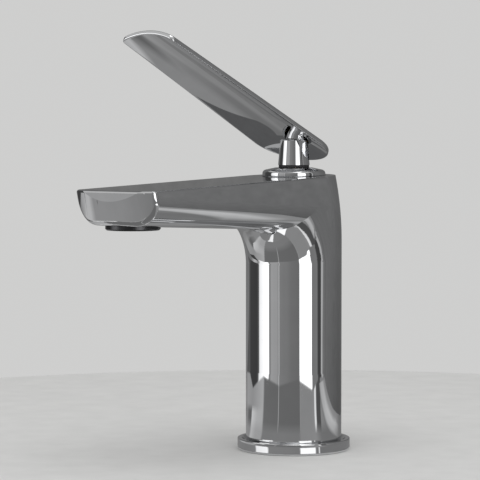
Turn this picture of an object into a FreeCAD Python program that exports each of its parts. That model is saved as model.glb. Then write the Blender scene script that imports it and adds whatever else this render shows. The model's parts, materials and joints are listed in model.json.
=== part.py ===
import FreeCAD, Part
import math
import os

import Sketcher

V = FreeCAD.Vector

# Driving dimensions of the single-lever basin mixer, in millimetres and degrees.
# The origin is on the deck, on the column's axis; the spout points along -Y.
SIZES = {
    # Column and spout
    "column_diameter": 46.0,
    "column_bend_start": 100.0,
    "column_bend_radius": 85.0,
    "body_height": 131.5,
    "top_fall_angle": 1.8,
    "spout_reach": 136.0,
    "spout_depth": 26.1,
    "spout_underside_rise": 2.85,
    "spout_corner_radius": 12.0,
    "front_undercut_angle": 13.0,
    "front_bow_radius": 52.0,
    "front_edge_radius": 3.0,
    "lip_bevel_depth": 2.8,
    "lip_bevel_height": 4.6,
    "throat_radius": 19.0,
    "throat_inset": 0.03,
    "stock_allowance": 9.0,
    # Hollow column, waterway and deck fixing
    "cavity_diameter": 38.0,
    "cavity_roof": 7.0,
    "stud_boss_face": 8.0,
    "stud_diameter": 8.0,
    "stud_offset": 13.5,
    "stud_engagement": 25.0,
    "stud_below_deck": 55.0,
    "thread_clearance": 0.05,
    "blind_relief": 1.0,
    "stud_boss_height": 32.0,
    "waterway_width": 34.0,
    "waterway_depth": 9.0,
    "waterway_rise": 20.2,
    "water_chamber_depth": 0.95,
    "water_chamber_rise": 5.0,
    "water_chamber_height": 19.0,
    # Base ring and deck gasket
    "base_ring_width": 3.88,
    "base_ring_height": 5.5,
    "base_ring_rim": 1.6,
    "base_ring_dish": 2.7,
    "base_ring_edge": 0.7,
    "base_ring_clearance": 0.12,
    "gasket_thickness": 1.0,
    "gasket_width": 6.9,
    "gasket_inset": 0.6,
    # Clamp under the deck
    "deck_thickness": 20.0,
    "clamp_diameter": 52.0,
    "clamp_slot_width": 30.0,
    "clamp_slot_end": 6.0,
    "clamp_hole_clearance": 0.3,
    "clamp_pad_thickness": 3.0,
    "clamp_plate_thickness": 3.0,
    "stud_nut_width": 13.0,
    "stud_nut_height": 6.5,
    # Inlet manifold with its two hose ports
    "manifold_half_length": 14.5,
    "manifold_half_width": 7.6,
    "manifold_height": 12.0,
    "hose_port_diameter": 9.0,
    "hose_port_depth": 10.0,
    "hose_port_offset": 7.0,
    "inlet_diameter": 4.4,
    "inlet_offset": 6.0,
    "manifold_screw_offset": 4.6,
    "manifold_screw_diameter": 3.0,
    "manifold_screw_head": 5.4,
    "manifold_screw_head_height": 2.4,
    "manifold_screw_grip": 5.0,
    "screw_hole_clearance": 0.15,
    # Cartridge
    "cartridge_diameter": 25.0,
    "cartridge_clearance": 0.15,
    "cartridge_height": 28.0,
    "cartridge_base_height": 4.0,
    "cartridge_wall": 2.0,
    "cartridge_roof": 2.0,
    "inlet_seal_diameter": 8.0,
    "inlet_seal_height": 1.1,
    "inlet_seal_clearance": 0.1,
    "fixed_disc_diameter": 19.0,
    "disc_thickness": 3.0,
    "disc_recess": 1.0,
    "disc_port_diameter": 4.0,
    "outlet_port_offset": 6.3,
    "moving_disc_diameter": 15.2,
    "moving_disc_pocket": 9.6,
    "moving_disc_pocket_depth": 1.2,
    "running_gap": 0.05,
    "carrier_height": 5.0,
    "carrier_flat_offset": 6.8,
    "guide_leg_gap": 0.3,
    "guide_leg_thickness": 1.9,
    "guide_leg_width": 6.0,
    "guide_leg_length": 3.6,
    "outlet_window_width": 8.0,
    "outlet_window_height": 8.0,
    "seal_section": 1.15,
    "seal_drop": 0.7,
    "rotor_gap": 1.25,
    "neck_diameter": 9.94,
    "neck_projection": 4.5,
    "washer_thickness": 0.8,
    # Nut and cap over the cartridge
    "nut_diameter": 27.6,
    "nut_height": 5.9,
    "nut_collar_diameter": 21.0,
    "nut_collar_height": 2.2,
    "nut_bore_diameter": 13.2,
    "nut_slot_width": 3.0,
    "cap_seat_depth": 0.6,
    "cap_diameter": 30.2,
    "cap_seat_clearance": 0.25,
    "cap_rim_height": 3.0,
    "cap_cone_height": 2.4,
    "cap_edge": 0.45,
    "cap_wall": 1.6,
    "cap_top_diameter": 15.8,
    "shaft_clearance": 0.08,
    # Post, yoke and lever pivot
    "post_base_diameter": 15.1,
    "post_top_diameter": 13.2,
    "post_top_rise": 3.2,
    "post_gap": 0.3,
    "post_lip": 1.2,
    "post_lip_bore": 10.8,
    "post_edge": 0.5,
    "yoke_diameter": 12.0,
    "yoke_bore": 10.0,
    "yoke_foot_gap": 0.4,
    "yoke_top_gap": 0.1,
    "pivot_rise": 9.2,
    "pivot_pin_diameter": 2.0,
    "pin_fit": 0.02,
    "bush_wall": 0.55,
    "bush_length": 2.6,
    "post_rear_angle": 27.5,
    "yoke_rear_angle": 30.0,
    "post_screw_diameter": 3.0,
    "post_screw_drop": 5.5,
    "post_screw_length": 1.0,
    # Lever
    "lever_open_angle": 24.0,
    "lever_rim_drop": 1.15,
    "lever_dome_height": 5.6,
    "lever_thickness": 1.9,
    "lever_length": 120.3,
    "lever_heel_radius": 19.5,
    "lever_heel_offset": 4.5,
    "lever_taper_angle": 2.85,
    "lever_tip_radius": 120.0,
    "lever_tip_corner": 3.5,
    "lever_dome_spread": 90.0,
    "lever_boss_diameter": 9.2,
    "lever_boss_start": 2.0,
    "knuckle_diameter": 9.2,
    "knuckle_shank_diameter": 5.4,
    "knuckle_shank_length": 4.9,
    # Tail and control stem
    "tail_arm": 9.0,
    "tail_diameter": 2.4,
    "tail_ball_diameter": 3.2,
    "tail_shoulder": 6.4,
    "tail_shoulder_diameter": 4.4,
    "stem_pin_drop": 2.6,
    "stem_pin_diameter": 2.5,
    "stem_pin_half_length": 9.4,
    "stem_diameter": 4.0,
    "stem_cup_diameter": 5.4,
    "stem_cup_clearance": 0.1,
    "stem_cup_rim": 1.2,
    "stem_cup_relief": 0.6,
    "stem_cup_flare": 1.0,
    "stem_foot_rise": 2.95,
    "stem_foot_ball": 4.4,
    "stem_foot_neck": 3.4,
    "stem_neck_length": 3.0,
    "stem_neck_taper": 1.4,
    "stem_foot_floor": 0.3,
    "stem_foot_clearance": 0.1,
    "stem_slot_width": 5.0,
    "stem_slot_length": 7.3,
    # Aerator
    "aerator_offset": 118.3,
    "aerator_flange_diameter": 24.4,
    "aerator_flange_height": 2.2,
    "aerator_recess": 0.61,
    "aerator_seat_clearance": 0.2,
    "aerator_thread_diameter": 22.1,
    "aerator_thread_length": 7.0,
    "aerator_bore": 19.0,
    "aerator_mouth": 17.4,
    "aerator_lip": 1.0,
    "aerator_fit": 0.1,
    "aerator_screen_thickness": 1.0,
    "aerator_hole_diameter": 4.0,
    "aerator_hole_pitch": 5.6,
    "aerator_feed_diameter": 2.4,
    "aerator_feed_offset": 5.0,
    "aerator_washer_thickness": 2.0,
    "aerator_washer_width": 3.5,
    "aerator_cup_wall": 1.4,
}

doc = FreeCAD.newDocument("basin_mixer")
sheet = doc.addObject("Spreadsheet::Sheet", "Dims")
for row, (name, number) in enumerate(SIZES.items(), start=1):
    sheet.set(f"A{row}", name)
    sheet.set(f"B{row}", str(number))
    sheet.setAlias(f"B{row}", name)
doc.recompute()


class Size:
    """A length or angle: its number now, and the sheet expression that keeps it true."""

    def __init__(self, number, text):
        self.number = number
        self.text = text

    def __add__(self, other):
        other = as_size(other)
        return Size(self.number + other.number, f"({self.text} + {other.text})")

    def __radd__(self, other):
        return as_size(other) + self

    def __sub__(self, other):
        other = as_size(other)
        return Size(self.number - other.number, f"({self.text} - {other.text})")

    def __rsub__(self, other):
        return as_size(other) - self

    def __mul__(self, other):
        other = as_size(other)
        return Size(self.number * other.number, f"({self.text} * {other.text})")

    def __rmul__(self, other):
        return as_size(other) * self

    def __truediv__(self, other):
        other = as_size(other)
        return Size(self.number / other.number, f"({self.text} / {other.text})")

    def __rtruediv__(self, other):
        return as_size(other) / self

    def __neg__(self):
        return Size(-self.number, f"(0 - {self.text})")


def as_size(value):
    if isinstance(value, Size):
        return value
    return Size(float(value), repr(float(value)))


def dim(name):
    return Size(float(sheet.get(name)), f"Dims.{name}")


def sine(angle):
    return Size(math.sin(math.radians(angle.number)), f"sin({angle.text})")


def cosine(angle):
    return Size(math.cos(math.radians(angle.number)), f"cos({angle.text})")


def tangent(angle):
    return Size(math.tan(math.radians(angle.number)), f"tan({angle.text})")


def root(value):
    return Size(math.sqrt(value.number), f"sqrt({value.text})")


NOUGHT = as_size(0)
FULL_TURN_ANGLE = 360.0
DIAGONAL_ANGLE = 45.0
HEXAGON_COUNT = 6
CHAMFER = 0.3
PIECES = []


def new_body(label, several_solids=False):
    body = doc.addObject("PartDesign::Body", label)
    body.Label = label
    body.AllowCompound = several_solids
    PIECES.append(body)
    return body


def place(body, across=None, along=None, up=None):
    """Stand a body at a point of the faucet's frame, tied to the sheet."""
    for axis, value in (("x", across), ("y", along), ("z", up)):
        if value is not None:
            body.setExpression(f"Placement.Base.{axis}", value.text)


def tilt(body, angle, axis):
    body.Placement = FreeCAD.Placement(V(0, 0, 0), FreeCAD.Rotation(axis, angle.number))
    body.setExpression("Placement.Rotation.Angle", angle.text)


def new_sketch(body, name, plane, offset=None, turn=None, turn_axis=V(0, 0, 1)):
    """Sketch on one of the body's own origin planes, moved along its normal or turned."""
    sketch = body.newObject("Sketcher::SketchObject", f"{body.Label}_{name}")
    roles = {feature.Role: feature for feature in body.Origin.OriginFeatures}
    sketch.AttachmentSupport = [(roles[plane], "")]
    sketch.MapMode = "FlatFace"
    if turn is not None:
        turned_by = FreeCAD.Rotation(turn_axis, turn.number)
        sketch.AttachmentOffset = FreeCAD.Placement(V(0, 0, 0), turned_by)
        sketch.setExpression("AttachmentOffset.Rotation.Angle", turn.text)
    if offset is not None:
        sketch.setExpression("AttachmentOffset.Base.z", as_size(offset).text)
    return sketch


def hold(sketch, geometry, position, across=None, up=None):
    """Tie a point of the sketch to its coordinates."""
    for kind, value in (("DistanceX", across), ("DistanceY", up)):
        if value is not None:
            rule = Sketcher.Constraint(kind, -1, 1, geometry, position, value.number)
            index = sketch.addConstraint(rule)
            sketch.setExpression(f"Constraints[{index}]", value.text)


def hold_radius(sketch, geometry, radius):
    index = sketch.addConstraint(Sketcher.Constraint("Radius", geometry, radius.number))
    sketch.setExpression(f"Constraints[{index}]", radius.text)


def circle(sketch, radius, across=NOUGHT, up=NOUGHT):
    radius, across, up = as_size(radius), as_size(across), as_size(up)
    shape = Part.Circle(V(across.number, up.number, 0), V(0, 0, 1), radius.number)
    geometry = sketch.addGeometry(shape)
    hold(sketch, geometry, 3, across, up)
    hold_radius(sketch, geometry, radius)


START, END, CENTRE = range(1, 4)
ANTICLOCKWISE, CLOCKWISE = True, False
FREE = "free centre"


def outline(sketch, corners, arcs=None, closed=True):
    """Outline through corners (across, up, held); arcs replace the side that leaves a corner.

    held names the coordinates that tie a corner: "xy", or one of them where the corner
    ends an arc, whose centre and radius give the other, or "smooth" where the sides that
    meet there run on into each other. An arc with a free centre is tied by its radius.
    """
    arcs = arcs or {}
    corners = [(as_size(c[0]), as_size(c[1]), c[2] if len(c) > 2 else "xy") for c in corners]
    points = [V(across.number, up.number, 0) for across, up, held in corners]
    sides = len(corners) if closed else len(corners) - 1
    made = []
    for side in range(sides):
        first, last = points[side], points[(side + 1) % len(points)]
        if side not in arcs:
            geometry = sketch.addGeometry(Part.LineSegment(first, last))
            made.append((geometry, START, END))
            continue
        across, up, radius, turn = arcs[side][:4]
        across, up, radius = as_size(across), as_size(up), as_size(radius)
        middle = V(across.number, up.number, 0)
        angles = [math.atan2(p.y - middle.y, p.x - middle.x) for p in (first, last)]
        if turn == CLOCKWISE:
            angles.reverse()
        round_part = Part.Circle(middle, V(0, 0, 1), radius.number)
        geometry = sketch.addGeometry(Part.ArcOfCircle(round_part, angles[0], angles[1]))
        if FREE not in arcs[side]:
            hold(sketch, geometry, CENTRE, across, up)
        hold_radius(sketch, geometry, radius)
        made.append((geometry, START, END) if turn == ANTICLOCKWISE else (geometry, END, START))
    joints = sides if closed else sides - 1
    for side in range(joints):
        geometry, begin, end = made[side]
        following, next_begin, next_end = made[(side + 1) % sides]
        kind = "Tangent" if corners[(side + 1) % len(corners)][2] == "smooth" else "Coincident"
        sketch.addConstraint(Sketcher.Constraint(kind, geometry, end, following, next_begin))
    for index, (across, up, held) in enumerate(corners):
        geometry, position = (made[index][0], made[index][1]) if index < sides else (made[-1][0], made[-1][2])
        hold(sketch, geometry, position, across if "x" in held else None, up if "y" in held else None)


def level_slot(sketch, half_length, half_width, up):
    """Round-ended outline that lies across the sketch at a height."""
    straight = half_length - half_width
    corners = [
        (-straight, up - half_width, "x"),
        (straight, up - half_width, "x"),
        (straight, up + half_width, "x"),
        (-straight, up + half_width, "x"),
    ]
    arcs = {
        1: (straight, up, half_width, ANTICLOCKWISE),
        3: (-straight, up, half_width, ANTICLOCKWISE),
    }
    outline(sketch, corners, arcs)


def finish_feature(body, feature, removes):
    """Recompute, and make sure that a cut cuts and an addition adds."""
    before = body.Tip.BaseFeature.Shape.Volume if body.Tip.BaseFeature else 0.0
    doc.recompute()
    change = feature.Shape.Volume - before
    if removes and change >= 0 or not removes and change <= 0:
        raise ValueError(f"{feature.Label} changes the volume by {change:.3f}")
    return feature


def pad(body, sketch, length, back=None, symmetric=False, downward=False):
    feature = body.newObject("PartDesign::Pad", f"{sketch.Label}_pad")
    feature.Profile = sketch
    feature.setExpression("Length", as_size(length).text)
    feature.Reversed = downward
    if symmetric:
        feature.SideType = "Symmetric"
    if back is not None:
        feature.SideType = "Two sides"
        feature.setExpression("Length2", as_size(back).text)
    return finish_feature(body, feature, removes=False)


def pocket(body, sketch, depth=None, upward=False):
    """Cut along the sketch's normal: to a depth, or right through both ways."""
    feature = body.newObject("PartDesign::Pocket", f"{sketch.Label}_pocket")
    feature.Profile = sketch
    if depth is None:
        feature.Type = "ThroughAll"
        feature.Midplane = True
    else:
        feature.setExpression("Length", as_size(depth).text)
        feature.Reversed = upward
    return finish_feature(body, feature, removes=True)


def revolve(body, sketch, spread=None, axis="V_Axis"):
    """Turn a profile about one of its sketch's axes: right round, or by equal parts each way."""
    feature = body.newObject("PartDesign::Revolution", f"{sketch.Label}_revolution")
    feature.Profile = sketch
    feature.ReferenceAxis = (sketch, [axis])
    feature.Angle = FULL_TURN_ANGLE
    if spread is not None:
        feature.Midplane = True
        feature.setExpression("Angle", spread.text)
    return finish_feature(body, feature, removes=False)


def round_edges(body, radius, wanted, chamfer=False):
    """Round, or bevel, the edges of the body so far that the test picks."""
    base = body.Tip
    names = [f"Edge{n}" for n, edge in enumerate(base.Shape.Edges, start=1) if wanted(edge)]
    kind = "Chamfer" if chamfer else "Fillet"
    feature = body.newObject(f"PartDesign::{kind}", f"{body.Label}_{kind.lower()}_{len(body.Group)}")
    feature.Base = (base, names)
    feature.setExpression("Size" if chamfer else "Radius", as_size(radius).text)
    doc.recompute()
    return feature


def turned(label, corners, arcs=None, several_solids=False):
    """Piece turned about the vertical axis from corners (radius, height)."""
    body = new_body(label, several_solids)
    sketch = new_sketch(body, "profile", "XZ_Plane")
    outline(sketch, corners, arcs)
    revolve(body, sketch)
    return body


def ring_corners(inner, outer, bottom, top):
    return [(inner, bottom), (outer, bottom), (outer, top), (inner, top)]


# Places that several pieces share
column_r = dim("column_diameter") / 2
stock = dim("stock_allowance")
gasket_top = dim("gasket_thickness")
cap_seat = dim("body_height") - dim("cap_seat_depth")
seat = cap_seat - dim("nut_height") - dim("cartridge_height")
cavity_top = seat - dim("cavity_roof")
cartridge_r = dim("cartridge_diameter") / 2
bore_r = cartridge_r + dim("cartridge_clearance")
cartridge_top = seat + dim("cartridge_height")
thread_gap = dim("thread_clearance")
inlet_r = dim("inlet_diameter") / 2
manifold_bottom = cavity_top - dim("manifold_height")
stud_r = dim("stud_diameter") / 2
underside = dim("body_height") - dim("spout_depth")
underside_slope = tangent(dim("spout_underside_rise"))
aerator_seat = underside + dim("aerator_offset") * underside_slope + dim("aerator_recess")
aerator_thread_r = dim("aerator_thread_diameter") / 2
aerator_top = aerator_seat + dim("aerator_thread_length") + dim("aerator_washer_thickness")
base_top = seat + dim("cartridge_base_height")
fixed_disc_bottom = base_top - dim("disc_recess")
fixed_disc_top = fixed_disc_bottom + dim("disc_thickness")
moving_disc_bottom = fixed_disc_top + dim("running_gap")
carrier_bottom = moving_disc_bottom + dim("disc_thickness")
carrier_top = carrier_bottom + dim("carrier_height")
roof = cartridge_top - dim("cartridge_roof")
chamber_r = cartridge_r - dim("cartridge_wall")
rotor_top = roof - dim("washer_thickness") - 2 * dim("running_gap")
rotor_bottom = carrier_top + dim("rotor_gap")
rotor_r = chamber_r - dim("shaft_clearance")
neck_r = dim("neck_diameter") / 2
yoke_r = dim("yoke_diameter") / 2
yoke_bore_r = dim("yoke_bore") / 2
cap_top = cap_seat + dim("cap_rim_height") + dim("cap_cone_height")
post_bottom = cap_top + dim("post_gap")
pivot = cap_top + dim("pivot_rise")
post_top = pivot + dim("post_top_rise")
post_screw = pivot - dim("post_screw_drop")
stem_pin = rotor_top - dim("stem_pin_drop")
pivot_pin_r = dim("pivot_pin_diameter") / 2
stem_pin_r = dim("stem_pin_diameter") / 2
half_lift = dim("lever_open_angle") / 2
stem_arm = pivot - dim("tail_arm") - stem_pin
stem_rest_angle = half_lift * dim("tail_arm") / stem_arm
stem_foot_arm = stem_pin - carrier_bottom - dim("stem_foot_rise")
disc_rest = stem_foot_arm * sine(stem_rest_angle)


def point_on_bend(height):
    """How far forward the column's axis has bent at a height."""
    rise = height - dim("column_bend_start")
    bend = dim("column_bend_radius")
    return root(bend * bend - rise * rise) - bend


def top_height(along):
    """Height of the sloping top face at a place along the spout."""
    return dim("body_height") + along * tangent(dim("top_fall_angle"))


def mixer_body():
    body = new_body("mixer_body")
    over_top = dim("body_height") + stock
    over_front = -(dim("spout_reach") + stock)
    bend = dim("column_bend_radius")

    side = new_sketch(body, "spout_side", "YZ_Plane")
    corners = [
        (point_on_bend(underside), underside, "y"),
        (point_on_bend(over_top), over_top, "y"),
        (over_front, over_top),
        (over_front, underside - over_front * underside_slope),
    ]
    outline(side, corners, {0: (-bend, dim("column_bend_start"), bend, ANTICLOCKWISE)})
    pad(body, side, 2 * column_r, symmetric=True)
    cut_top_face(body, "spout_top")

    def is_lower_side_edge(edge):
        box = edge.BoundBox
        beside = abs(abs(box.Center.x) - column_r.number) < 0.01
        return beside and box.XLength < 0.01 and box.ZMax < body.Shape.BoundBox.ZMin + stock.number

    round_edges(body, dim("spout_corner_radius"), is_lower_side_edge)

    # The front leans back towards its foot and bows forward across its width.
    lip = -dim("spout_reach")
    bow = dim("front_bow_radius")
    lean = dim("front_undercut_angle")
    lip_height = top_height(lip)
    bow_front = lip * cosine(lean) + lip_height * sine(lean)
    corner_back = bow_front + bow - root(bow * bow - (column_r + stock) * (column_r + stock))
    front = new_sketch(body, "front_bow", "XY_Plane", turn=lean, turn_axis=V(1, 0, 0))
    outer = column_r + stock
    far_front = bow_front - 4 * stock
    corners = [
        (-outer, corner_back, "x"),
        (outer, corner_back, "x"),
        (outer, far_front),
        (-outer, far_front),
    ]
    outline(front, corners, {0: (NOUGHT, bow_front + bow, bow, ANTICLOCKWISE)})
    pocket(body, front)

    # A flat bevel over the bowed front leaves a crescent under the lip.
    bevel = new_sketch(body, "lip_bevel", "YZ_Plane")
    bevel_top = lip + dim("lip_bevel_depth")
    bevel_foot = lip + dim("lip_bevel_height") * tangent(lean)
    foot_height = lip_height - dim("lip_bevel_height")
    slope = (bevel_top - bevel_foot) / dim("lip_bevel_height")
    over = lip_height + stock
    corners = [
        (bevel_foot, foot_height),
        (bevel_top + slope * stock, over),
        (lip - stock, over),
        (lip - stock, foot_height),
    ]
    outline(bevel, corners)
    pocket(body, bevel)

    def is_front_outline(edge):
        box = edge.BoundBox
        low = box.ZMax < foot_height.number + 2 * stock.number
        on_front = box.YMax < lip.number + 2 * stock.number
        at_side = abs(box.Center.x) > column_r.number - dim("spout_corner_radius").number
        along_foot = box.ZMax < underside.number + stock.number
        below_lip = box.ZMin < foot_height.number - dim("lip_bevel_height").number
        return low and on_front and (at_side or along_foot) and below_lip and box.YLength < 2 * stock.number

    round_edges(body, dim("front_edge_radius"), is_front_outline)

    spine = new_sketch(body, "column_axis", "YZ_Plane")
    corners = [
        (NOUGHT, gasket_top),
        (NOUGHT, dim("column_bend_start"), "y"),
        (point_on_bend(over_top), over_top, "y"),
    ]
    arcs = {1: (-bend, dim("column_bend_start"), bend, ANTICLOCKWISE)}
    outline(spine, corners, arcs, closed=False)
    sweep_disc(body, "column", spine, column_r, gasket_top)

    # A tighter bend inside the angle blends the column's front into the underside.
    rise = dim("spout_underside_rise")
    turn = dim("throat_radius") + column_r
    start = underside + turn * tangent(rise) - dim("throat_radius") / cosine(rise)
    spine = new_sketch(body, "throat_axis", "YZ_Plane")
    corners = [
        (NOUGHT, start, "y"),
        (turn * sine(rise) - turn, start + turn * cosine(rise), "x"),
    ]
    outline(spine, corners, {0: (-turn, start, turn, ANTICLOCKWISE)}, closed=False)
    sweep_disc(body, "throat", spine, column_r - dim("throat_inset"), start)

    cut_top_face(body, "column_top")
    hollow_body(body)


def sweep_disc(body, name, spine, radius, bottom):
    """Sweep a level disc from its height along the spine."""
    section = new_sketch(body, f"{name}_section", "XY_Plane", offset=bottom)
    circle(section, radius)
    pipe = body.newObject("PartDesign::AdditivePipe", f"{name}_pipe")
    pipe.Profile = section
    pipe.Spine = (spine, [f"Edge{n}" for n in range(1, len(spine.Shape.Edges) + 1)])
    finish_feature(body, pipe, removes=False)


def cut_top_face(body, name):
    """Cut the body off along its sloping top face."""
    crown = new_sketch(body, name, "YZ_Plane")
    reach = dim("spout_reach") + 2 * stock
    heel = column_r + stock
    far_top = dim("body_height") + 3 * stock
    corners = [
        (-reach, top_height(-reach)),
        (heel, top_height(heel)),
        (heel, far_top),
        (-reach, far_top),
    ]
    outline(crown, corners)
    pocket(body, crown)


def hollow_body(body):
    """Hose space, stud hole, cartridge bore, waterway and aerator seat."""
    cavity = new_sketch(body, "hose_space", "XY_Plane", offset=gasket_top)
    cavity_r = dim("cavity_diameter") / 2
    face = dim("stud_boss_face")
    half_chord = root(cavity_r * cavity_r - face * face)
    corners = [(-half_chord, face, "y"), (half_chord, face, "y")]
    outline(cavity, corners, {1: (NOUGHT, NOUGHT, cavity_r, CLOCKWISE)})
    pocket(body, cavity, cavity_top - gasket_top, upward=True)

    above_boss = new_sketch(body, "space_above_boss", "XY_Plane", offset=dim("stud_boss_height"))
    circle(above_boss, cavity_r)
    pocket(body, above_boss, cavity_top - dim("stud_boss_height"), upward=True)

    stud_hole = new_sketch(body, "stud_hole", "XY_Plane", offset=gasket_top)
    circle(stud_hole, stud_r + thread_gap, NOUGHT, dim("stud_offset"))
    pocket(body, stud_hole, dim("stud_engagement") + dim("blind_relief"), upward=True)

    over_top = dim("body_height") + stock
    nut_r = dim("nut_diameter") / 2 + thread_gap
    cap_r = dim("cap_diameter") / 2 + dim("cap_seat_clearance")
    for name, radius, bottom in (
        ("cap_seat", cap_r, cap_seat),
        ("nut_thread", nut_r, cartridge_top),
        ("cartridge_bore", bore_r, seat),
    ):
        sketch = new_sketch(body, name, "XY_Plane", offset=over_top)
        circle(sketch, radius)
        pocket(body, sketch, over_top - bottom)

    chamber = new_sketch(body, "water_chamber", "XZ_Plane")
    chamber_bottom = seat + dim("water_chamber_rise")
    chamber_top = chamber_bottom + dim("water_chamber_height")
    inner = bore_r - dim("blind_relief")
    outer = bore_r + dim("water_chamber_depth")
    outline(chamber, ring_corners(inner, outer, chamber_bottom, chamber_top))
    groove = body.newObject("PartDesign::Groove", "water_chamber_groove")
    groove.Profile = chamber
    groove.ReferenceAxis = (chamber, ["V_Axis"])
    groove.Angle = FULL_TURN_ANGLE
    finish_feature(body, groove, removes=True)

    inlets = new_sketch(body, "inlets", "XY_Plane", offset=seat)
    for hand in (-1, 1):
        circle(inlets, inlet_r, hand * dim("inlet_offset"))
    pocket(body, inlets, seat - cavity_top)

    screw_holes = new_sketch(body, "screw_holes", "XY_Plane", offset=cavity_top)
    for hand in (-1, 1):
        radius = dim("manifold_screw_diameter") / 2 + thread_gap
        circle(screw_holes, radius, NOUGHT, hand * dim("manifold_screw_offset"))
    pocket(body, screw_holes, dim("manifold_screw_grip") + dim("blind_relief"), upward=True)

    waterway = new_sketch(body, "waterway", "XZ_Plane", offset=dim("aerator_offset"))
    level_slot(waterway, dim("waterway_width") / 2, dim("waterway_depth") / 2, seat + dim("waterway_rise"))
    pocket(body, waterway, dim("aerator_offset") - bore_r + dim("blind_relief"))

    below = aerator_seat - stock
    flange_r = dim("aerator_flange_diameter") / 2 + dim("aerator_seat_clearance")
    for name, radius, ceiling in (
        ("aerator_seat", flange_r, aerator_seat),
        ("aerator_thread", aerator_thread_r + thread_gap, aerator_top),
    ):
        sketch = new_sketch(body, name, "XY_Plane", offset=below)
        circle(sketch, radius, NOUGHT, -dim("aerator_offset"))
        pocket(body, sketch, ceiling - below, upward=True)


def base_pieces():
    """Dished ring round the column's foot, and the gasket under both."""
    inner = column_r + dim("base_ring_clearance")
    outer = inner + dim("base_ring_width")
    top = dim("base_ring_height")
    edge = dim("base_ring_edge")
    rim = outer - edge - dim("base_ring_rim")
    corners = [
        (inner, gasket_top),
        (outer, gasket_top),
        (outer, top - edge),
        (outer - edge, top),
        (rim, top),
        (inner, top - dim("base_ring_dish")),
    ]
    turned("base_ring", corners)
    gasket_outer = outer - dim("gasket_inset")
    turned("deck_gasket", ring_corners(gasket_outer - dim("gasket_width"), gasket_outer, NOUGHT, gasket_top))


def inlet_manifold():
    body = new_body("inlet_manifold")
    plan = new_sketch(body, "plan", "XY_Plane", offset=manifold_bottom)
    level_slot(plan, dim("manifold_half_length"), dim("manifold_half_width"), NOUGHT)
    pad(body, plan, dim("manifold_height"))
    ports = new_sketch(body, "hose_ports", "XY_Plane", offset=manifold_bottom)
    passages = new_sketch(body, "passages", "XY_Plane")
    screws = new_sketch(body, "screw_holes", "XY_Plane")
    for hand in (-1, 1):
        circle(ports, dim("hose_port_diameter") / 2, hand * dim("hose_port_offset"))
        circle(passages, inlet_r, hand * dim("inlet_offset"))
        screw_r = dim("manifold_screw_diameter") / 2 + dim("screw_hole_clearance")
        circle(screws, screw_r, NOUGHT, hand * dim("manifold_screw_offset"))
    pocket(body, ports, dim("hose_port_depth"), upward=True)
    pocket(body, passages)
    pocket(body, screws)

    fixings = new_body("manifold_screws", several_solids=True)
    heads = new_sketch(fixings, "heads", "XY_Plane", offset=manifold_bottom)
    shanks = new_sketch(fixings, "shanks", "XY_Plane", offset=manifold_bottom)
    for hand in (-1, 1):
        along = hand * dim("manifold_screw_offset")
        circle(heads, dim("manifold_screw_head") / 2, NOUGHT, along)
        circle(shanks, dim("manifold_screw_diameter") / 2, NOUGHT, along)
    pad(fixings, heads, dim("manifold_screw_head_height"), downward=True)
    pad(fixings, shanks, dim("manifold_height") + dim("manifold_screw_grip"))


def clamp_pieces():
    """Stud, horseshoe pad and plate, and the nut that draws them up under the deck."""
    top = gasket_top + dim("stud_engagement")
    bottom = -dim("stud_below_deck")
    corners = [
        (NOUGHT, bottom),
        (stud_r - CHAMFER, bottom),
        (stud_r, bottom + CHAMFER),
        (stud_r, top - CHAMFER),
        (stud_r - CHAMFER, top),
        (NOUGHT, top),
    ]
    stud = turned("mounting_stud", corners)
    place(stud, along=dim("stud_offset"))

    radius = dim("clamp_diameter") / 2
    half_slot = dim("clamp_slot_width") / 2
    mouth = -root(radius * radius - half_slot * half_slot)
    level = -dim("deck_thickness")
    for label, thickness in (
        ("clamp_pad", dim("clamp_pad_thickness")),
        ("clamp_plate", dim("clamp_plate_thickness")),
    ):
        level = level - thickness
        body = new_body(label)
        plan = new_sketch(body, "plan", "XY_Plane", offset=level)
        corners = [
            (half_slot, mouth, "x"),
            (-half_slot, mouth, "x"),
            (-half_slot, dim("clamp_slot_end")),
            (half_slot, dim("clamp_slot_end")),
        ]
        outline(plan, corners, {0: (NOUGHT, NOUGHT, radius, ANTICLOCKWISE)})
        circle(plan, stud_r + dim("clamp_hole_clearance"), NOUGHT, dim("stud_offset"))
        pad(body, plan, thickness)

    nut = new_body("stud_nut")
    plan = new_sketch(nut, "plan", "XY_Plane", offset=level)
    hexagon(plan, dim("stud_nut_width"))
    circle(plan, stud_r + thread_gap)
    pad(nut, plan, dim("stud_nut_height"), downward=True)
    place(nut, along=dim("stud_offset"))


def hexagon(sketch, across_flats):
    """Regular hexagon about the sketch's origin with flats above and below."""
    half = across_flats / 2
    corner = across_flats / root(as_size(HEXAGON_COUNT / 2))
    corners = [
        (corner, NOUGHT),
        (corner / 2, half),
        (-corner / 2, half),
        (-corner, NOUGHT),
        (-corner / 2, -half),
        (corner / 2, -half),
    ]
    outline(sketch, corners)


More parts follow.
